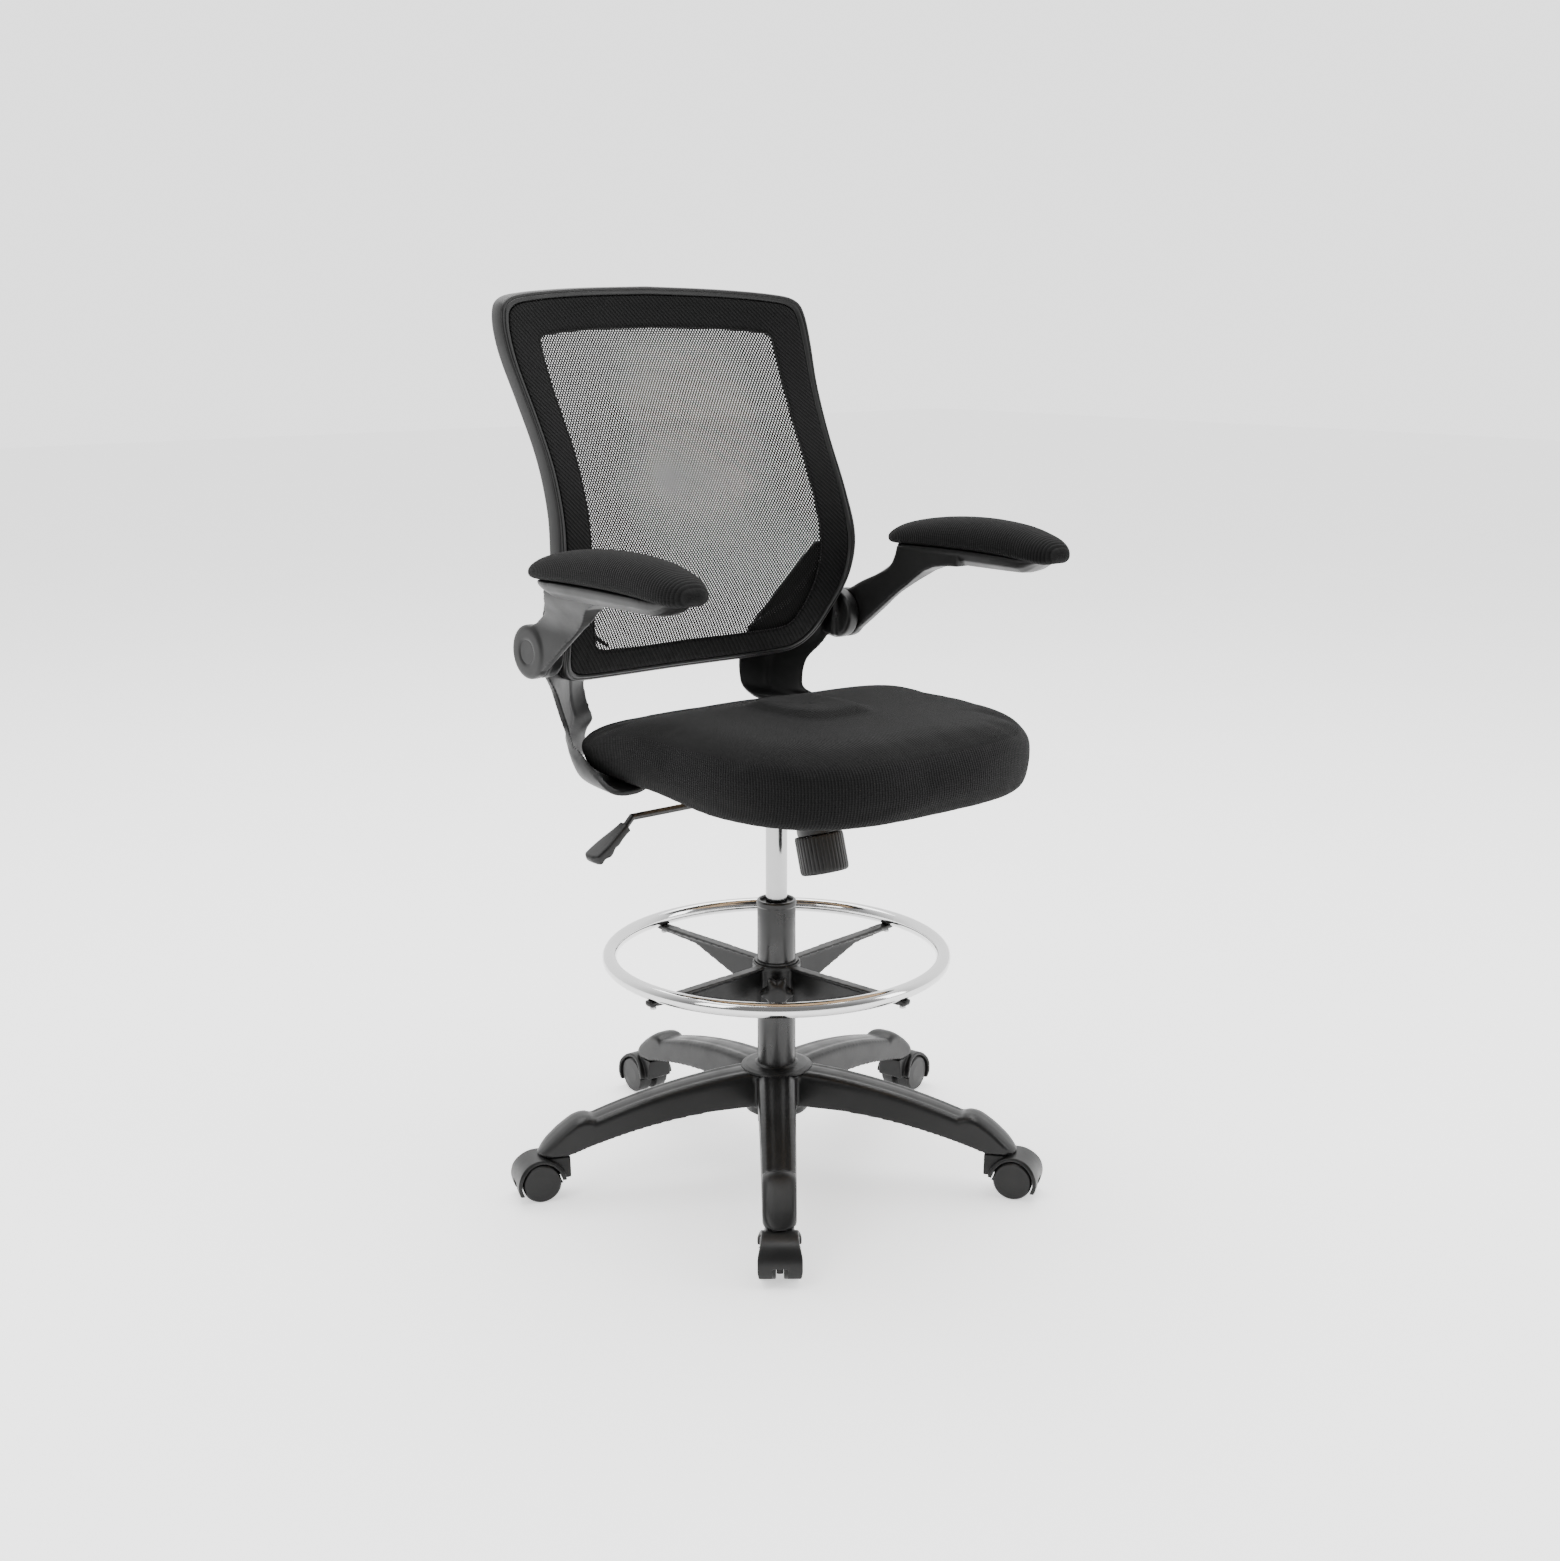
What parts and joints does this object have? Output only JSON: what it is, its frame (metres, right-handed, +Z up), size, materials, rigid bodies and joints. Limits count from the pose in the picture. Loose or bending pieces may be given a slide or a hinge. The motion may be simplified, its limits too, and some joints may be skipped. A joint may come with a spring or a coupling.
{
  "type": "drafting chair",
  "caption": "Tall swivel task chair with a mesh back, padded seat, flip-up arms, foot ring, gas lift and a five-legged base on twin-wheel casters.",
  "frame": {"origin": "on the floor, on the column's axis", "axes": "+Z up; the sitter faces -Y; +X is the sitter's left"},
  "size_m": [0.6878, 0.6653, 1.137],
  "materials": {
    "base_plastic": "satin moulded nylon, black",
    "black_plastic": "satin moulded plastic, black",
    "column_paint": "satin black paint",
    "liner_plastic": "smooth",
    "chrome": "polished",
    "steel": "plain zinc plated",
    "plate_paint": "black powder coat",
    "board": "bare plywood",
    "cushion_fabric": "matte fine-ribbed knit, black",
    "back_fabric": "open woven mesh, black",
    "wheel_plastic": "smooth hard tread, black"
  },
  "bodies": {
    "base": {"star_base": "base_plastic", "hub_trim_ring": "black_plastic", "column_tube": "column_paint", "column_bush": "liner_plastic", "caster_sockets": "steel"},
    "piston": {"piston_rod": "steel", "thrust_bearing": "steel"},
    "post": {"gas_cylinder": "chrome", "tilt_bracket": "plate_paint", "tilt_pivot_pin": "steel", "tension_spring": "steel"},
    "valve": {"valve_button": "steel"},
    "tilt_lock": {"tilt_lock_plate": "steel"},
    "lever": {"lever_rod": "column_paint", "lever_paddle": "black_plastic"},
    "seat": {"seat_plate": "plate_paint", "seat_board": "board", "seat_cushion": "cushion_fabric", "side_bracket_left": "black_plastic", "side_bracket_right": "black_plastic", "seat_screws": "steel", "back_frame": "black_plastic", "back_mesh": "back_fabric", "back_band": "cushion_fabric", "back_screws": "steel", "arm_pivot_pin_left": "steel", "arm_pivot_pin_right": "steel"},
    "adjuster_bolt": {"tension_bolt": "steel"},
    "adjuster_knob": {"tension_knob": "black_plastic"},
    "left_arm": {"arm_left": "black_plastic", "arm_pad_left": "cushion_fabric", "arm_cap_left": "black_plastic"},
    "right_arm": {"arm_right": "black_plastic", "arm_pad_right": "cushion_fabric", "arm_cap_right": "black_plastic"},
    "ring_sleeve": {"ring_liner": "liner_plastic"},
    "foot_ring": {"ring_hub": "base_plastic", "ring_tube": "chrome", "ring_screws": "steel"},
    "clamp_knob": {"ring_knob": "black_plastic"},
    "caster_1": {"caster_hood_1": "black_plastic", "caster_stem_1": "steel"},
    "wheel_1_first": {"wheel_1_a": "wheel_plastic"},
    "wheel_1_second": {"wheel_1_b": "wheel_plastic"},
    "caster_2": {"caster_hood_2": "black_plastic", "caster_stem_2": "steel"},
    "wheel_2_first": {"wheel_2_a": "wheel_plastic"},
    "wheel_2_second": {"wheel_2_b": "wheel_plastic"},
    "caster_3": {"caster_hood_3": "black_plastic", "caster_stem_3": "steel"},
    "wheel_3_first": {"wheel_3_a": "wheel_plastic"},
    "wheel_3_second": {"wheel_3_b": "wheel_plastic"},
    "caster_4": {"caster_hood_4": "black_plastic", "caster_stem_4": "steel"},
    "wheel_4_first": {"wheel_4_a": "wheel_plastic"},
    "wheel_4_second": {"wheel_4_b": "wheel_plastic"},
    "caster_5": {"caster_hood_5": "black_plastic", "caster_stem_5": "steel"},
    "wheel_5_first": {"wheel_5_a": "wheel_plastic"},
    "wheel_5_second": {"wheel_5_b": "wheel_plastic"}
  },
  "joints": [
    {"name": "seat_swivel", "type": "hinge", "parent": "base", "child": "piston", "pos_m": [0, 0, 0.07], "axis": [0, 0, 1], "continuous": true},
    {"name": "seat_lift", "type": "slide", "parent": "piston", "child": "post", "axis": [0, 0, 1], "range_m": [-0.07, 0.13]},
    {"name": "seat_tilt", "type": "hinge", "parent": "post", "child": "seat", "pos_m": [0, -0.038, 0.516], "axis": [-1, 0, 0], "range_deg": [0, 12], "stiffness_Nm_per_rad": 150, "springref_deg": -17.19},
    {"name": "valve_press", "type": "slide", "parent": "post", "child": "valve", "axis": [0, 0, -1], "range_m": [0, 0.0045]},
    {"name": "lever_pull", "type": "slide", "parent": "post", "child": "tilt_lock", "axis": [-1, 0, 0], "range_m": [0, 0.008]},
    {"name": "lever_lift", "type": "hinge", "parent": "tilt_lock", "child": "lever", "pos_m": [-0.048, 0, 0.5135], "axis": [0, 1, 0], "range_deg": [0, 5], "stiffness_Nm_per_rad": 10, "springref_deg": -11.46},
    {"name": "adjuster_travel", "type": "slide", "parent": "post", "child": "adjuster_bolt", "axis": [0, 0.2756, 0.9613], "range_m": [0, 0.0066], "deforming": ["tension_spring"]},
    {"name": "adjuster_turn", "type": "hinge", "parent": "adjuster_bolt", "child": "adjuster_knob", "pos_m": [0, -0.089, 0.447], "axis": [0, 0.2756, 0.9613], "range_deg": [-1080, 1080]},
    {"name": "arm_flip_left", "type": "hinge", "parent": "seat", "child": "left_arm", "pos_m": [0.26, 0.158, 0.698], "axis": [-1, 0, 0], "range_deg": [0, 90]},
    {"name": "arm_flip_right", "type": "hinge", "parent": "seat", "child": "right_arm", "pos_m": [-0.26, 0.158, 0.698], "axis": [-1, 0, 0], "range_deg": [0, 90]},
    {"name": "footring_slide", "type": "slide", "parent": "base", "child": "ring_sleeve", "axis": [0, 0, 1], "range_m": [-0.065, 0.07]},
    {"name": "footring_turn", "type": "hinge", "parent": "ring_sleeve", "child": "foot_ring", "pos_m": [0, 0, 0.26], "axis": [0, 0, 1], "continuous": true},
    {"name": "footring_knob_turn", "type": "hinge", "parent": "foot_ring", "child": "clamp_knob", "pos_m": [-0.03147, -0.03886, 0.256], "axis": [-0.6293, -0.7771, 0], "range_deg": [-360, 360]},
    {"name": "caster_swivel_1", "type": "hinge", "parent": "base", "child": "caster_1", "pos_m": [-0.19226, -0.23742, 0.06], "axis": [0, 0, 1], "continuous": true},
    {"name": "wheel_spin_1_first", "type": "hinge", "parent": "caster_1", "child": "wheel_1_first", "pos_m": [-0.20264, -0.25024, 0.025], "axis": [0.7771, -0.6293, 0], "continuous": true},
    {"name": "wheel_spin_1_second", "type": "hinge", "parent": "caster_1", "child": "wheel_1_second", "pos_m": [-0.20264, -0.25024, 0.025], "axis": [0.7771, -0.6293, 0], "continuous": true},
    {"name": "caster_swivel_2", "type": "hinge", "parent": "base", "child": "caster_2", "pos_m": [0.16639, -0.25621, 0.06], "axis": [0, 0, 1], "continuous": true},
    {"name": "wheel_spin_2_first", "type": "hinge", "parent": "caster_2", "child": "wheel_2_first", "pos_m": [0.17537, -0.27005, 0.025], "axis": [0.8387, 0.5446, 0], "continuous": true},
    {"name": "wheel_spin_2_second", "type": "hinge", "parent": "caster_2", "child": "wheel_2_second", "pos_m": [0.17537, -0.27005, 0.025], "axis": [0.8387, 0.5446, 0], "continuous": true},
    {"name": "caster_swivel_3", "type": "hinge", "parent": "base", "child": "caster_3", "pos_m": [0.29509, 0.07907, 0.06], "axis": [0, 0, 1], "continuous": true},
    {"name": "wheel_spin_3_first", "type": "hinge", "parent": "caster_3", "child": "wheel_3_first", "pos_m": [0.31103, 0.08334, 0.025], "axis": [-0.2588, 0.9659, 0], "continuous": true},
    {"name": "wheel_spin_3_second", "type": "hinge", "parent": "caster_3", "child": "wheel_3_second", "pos_m": [0.31103, 0.08334, 0.025], "axis": [-0.2588, 0.9659, 0], "continuous": true},
    {"name": "caster_swivel_4", "type": "hinge", "parent": "base", "child": "caster_4", "pos_m": [0.01599, 0.30508, 0.06], "axis": [0, 0, 1], "continuous": true},
    {"name": "wheel_spin_4_first", "type": "hinge", "parent": "caster_4", "child": "wheel_4_first", "pos_m": [0.01685, 0.32156, 0.025], "axis": [-0.9986, 0.0523, 0], "continuous": true},
    {"name": "wheel_spin_4_second", "type": "hinge", "parent": "caster_4", "child": "wheel_4_second", "pos_m": [0.01685, 0.32156, 0.025], "axis": [-0.9986, 0.0523, 0], "continuous": true},
    {"name": "caster_swivel_5", "type": "hinge", "parent": "base", "child": "caster_5", "pos_m": [-0.28521, 0.10948, 0.06], "axis": [0, 0, 1], "continuous": true},
    {"name": "wheel_spin_5_first", "type": "hinge", "parent": "caster_5", "child": "wheel_5_first", "pos_m": [-0.30061, 0.11539, 0.025], "axis": [-0.3584, -0.9336, 0], "continuous": true},
    {"name": "wheel_spin_5_second", "type": "hinge", "parent": "caster_5", "child": "wheel_5_second", "pos_m": [-0.30061, 0.11539, 0.025], "axis": [-0.3584, -0.9336, 0], "continuous": true}
  ],
  "couplings": [
    {"joint": "valve_press", "follows": "lever_lift", "m_per_rad": 0.048},
    {"joint": "adjuster_travel", "follows": "seat_tilt", "m_per_rad": 0.03}
  ]
}
